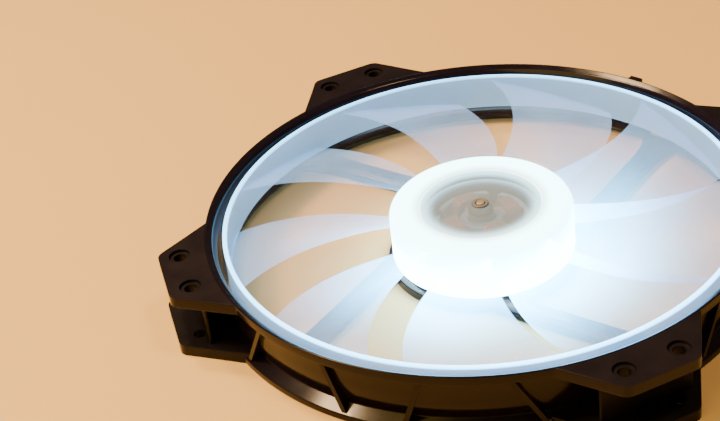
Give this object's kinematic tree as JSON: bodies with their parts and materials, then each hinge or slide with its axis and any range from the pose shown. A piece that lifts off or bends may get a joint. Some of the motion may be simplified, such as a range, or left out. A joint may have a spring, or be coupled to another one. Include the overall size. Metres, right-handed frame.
{
  "type": "case fan",
  "caption": "Lit axial case fan: thin round duct with open mounting corners, tangential struts and a shrouded translucent impeller on a glowing hub.",
  "frame": {"origin": "centre of the footprint, on the exhaust face that the fan lies on", "axes": "+Z along the shaft towards the intake side, +X along the 180 mm hole spacing, +Y along the 124 mm spacing"},
  "size_m": [0.2, 0.2, 0.025],
  "materials": {
    "gloss_black": "smooth moulded black plastic, glossy",
    "satin_black": "the same black moulding where its surface is finely grained and satin",
    "milky": "milky translucent moulding that carries the lamps' cool light",
    "glowing_hub": "milky translucent moulding, lit from inside",
    "clear_window": "clear polished disc",
    "copper": "enamelled copper wire",
    "steel": "plain steel",
    "ferrite": "dark bonded magnet",
    "white_plastic": "natural moulded plastic",
    "dark_plastic": "black moulded plastic",
    "bronze": "sintered bronze",
    "brass": "turned brass",
    "laminate": "green circuit board",
    "led": "lit cool white lamp",
    "label": "blank dark sticker"
  },
  "bodies": {
    "housing": {"frame_duct": "gloss_black", "frame_corner_1": "satin_black", "frame_corner_2": "satin_black", "frame_corner_3": "satin_black", "frame_corner_4": "satin_black", "frame_strut_1": "gloss_black", "frame_strut_2": "gloss_black", "frame_strut_3": "gloss_black", "frame_strut_4": "gloss_black", "motor_base": "gloss_black", "bearing_tube": "brass", "sleeve_bearing": "bronze", "thrust_pad": "white_plastic", "retaining_clip": "dark_plastic", "oil_seal": "dark_plastic", "stator_core": "steel", "insulator_upper": "white_plastic", "insulator_lower": "white_plastic", "coil_1": "copper", "coil_2": "copper", "coil_3": "copper", "coil_4": "copper", "motor_board": "laminate", "hall_sensor": "dark_plastic", "driver_chip": "dark_plastic", "capacitor": "steel", "led_1": "led", "led_2": "led", "led_3": "led", "led_4": "led", "led_5": "led", "led_6": "led", "led_7": "led", "led_8": "led", "rear_label": "label"},
    "rotor": {"impeller_hub": "glowing_hub", "impeller_ring": "milky", "blade_1": "milky", "blade_2": "milky", "blade_3": "milky", "blade_4": "milky", "blade_5": "milky", "blade_6": "milky", "blade_7": "milky", "blade_8": "milky", "blade_9": "milky", "hub_window": "clear_window", "shaft_bush": "dark_plastic", "shaft": "steel", "flux_ring": "steel", "magnet_ring": "ferrite"}
  },
  "joints": [
    {"name": "fan_spin", "type": "hinge", "parent": "housing", "child": "rotor", "pos_m": [0, 0, 0.0125], "axis": [0, 0, 1], "continuous": true}
  ]
}
